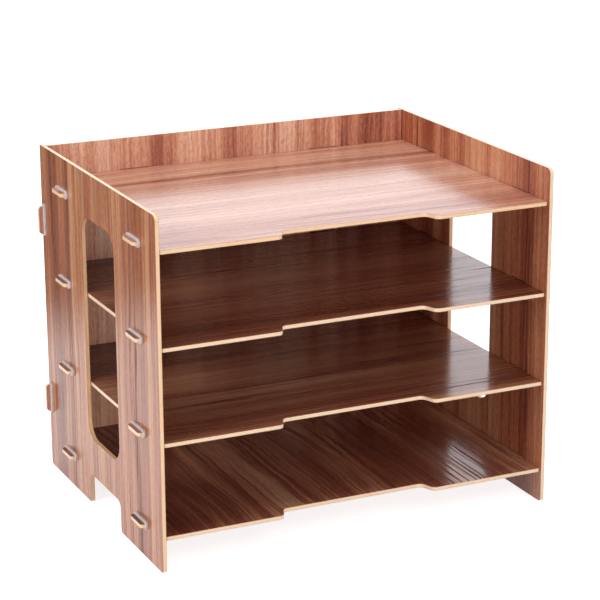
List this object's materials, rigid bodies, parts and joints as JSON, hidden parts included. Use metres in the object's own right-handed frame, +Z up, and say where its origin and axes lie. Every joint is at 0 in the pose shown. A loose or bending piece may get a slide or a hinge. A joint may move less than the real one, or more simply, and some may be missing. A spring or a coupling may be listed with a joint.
{
  "type": "tiered document tray",
  "caption": "Desk rack of thin wood-grain boards slotted together: open-fronted paper shelves under a rimmed top tray, with side windows, leg arches and rubber rings on the tabs.",
  "frame": {"origin": "on the floor, under the middle of the tray", "axes": "+X to the right seen from the open front, +Y to the back, +Z up"},
  "size_m": [0.33, 0.2465, 0.2675],
  "materials": {
    "side_board": "glossy wood-grain laminate on fibreboard, raw edges",
    "shelf_board": "glossy wood-grain laminate on fibreboard, raw edges",
    "back_board": "glossy wood-grain laminate on fibreboard, raw edges",
    "rubber_ring": "smooth, pale and slightly see-through"
  },
  "bodies": {
    "root": {"left_side": "side_board", "right_side": "side_board", "back_panel": "back_board", "top_shelf": "shelf_board", "second_shelf": "shelf_board", "third_shelf": "shelf_board", "bottom_shelf": "shelf_board", "left_front_ring_bottom_shelf": "rubber_ring", "left_rear_ring_bottom_shelf": "rubber_ring", "left_front_ring_third_shelf": "rubber_ring", "left_rear_ring_third_shelf": "rubber_ring", "left_front_ring_second_shelf": "rubber_ring", "left_rear_ring_second_shelf": "rubber_ring", "left_front_ring_top_shelf": "rubber_ring", "left_rear_ring_top_shelf": "rubber_ring", "left_lower_ring_back_panel": "rubber_ring", "left_upper_ring_back_panel": "rubber_ring", "right_front_ring_bottom_shelf": "rubber_ring", "right_rear_ring_bottom_shelf": "rubber_ring", "right_front_ring_third_shelf": "rubber_ring", "right_rear_ring_third_shelf": "rubber_ring", "right_front_ring_second_shelf": "rubber_ring", "right_rear_ring_second_shelf": "rubber_ring", "right_front_ring_top_shelf": "rubber_ring", "right_rear_ring_top_shelf": "rubber_ring", "right_lower_ring_back_panel": "rubber_ring", "right_upper_ring_back_panel": "rubber_ring", "back_left_ring_bottom_shelf": "rubber_ring", "back_right_ring_bottom_shelf": "rubber_ring", "back_left_ring_third_shelf": "rubber_ring", "back_right_ring_third_shelf": "rubber_ring", "back_left_ring_second_shelf": "rubber_ring", "back_right_ring_second_shelf": "rubber_ring", "back_left_ring_top_shelf": "rubber_ring", "back_right_ring_top_shelf": "rubber_ring"}
  },
  "joints": []
}
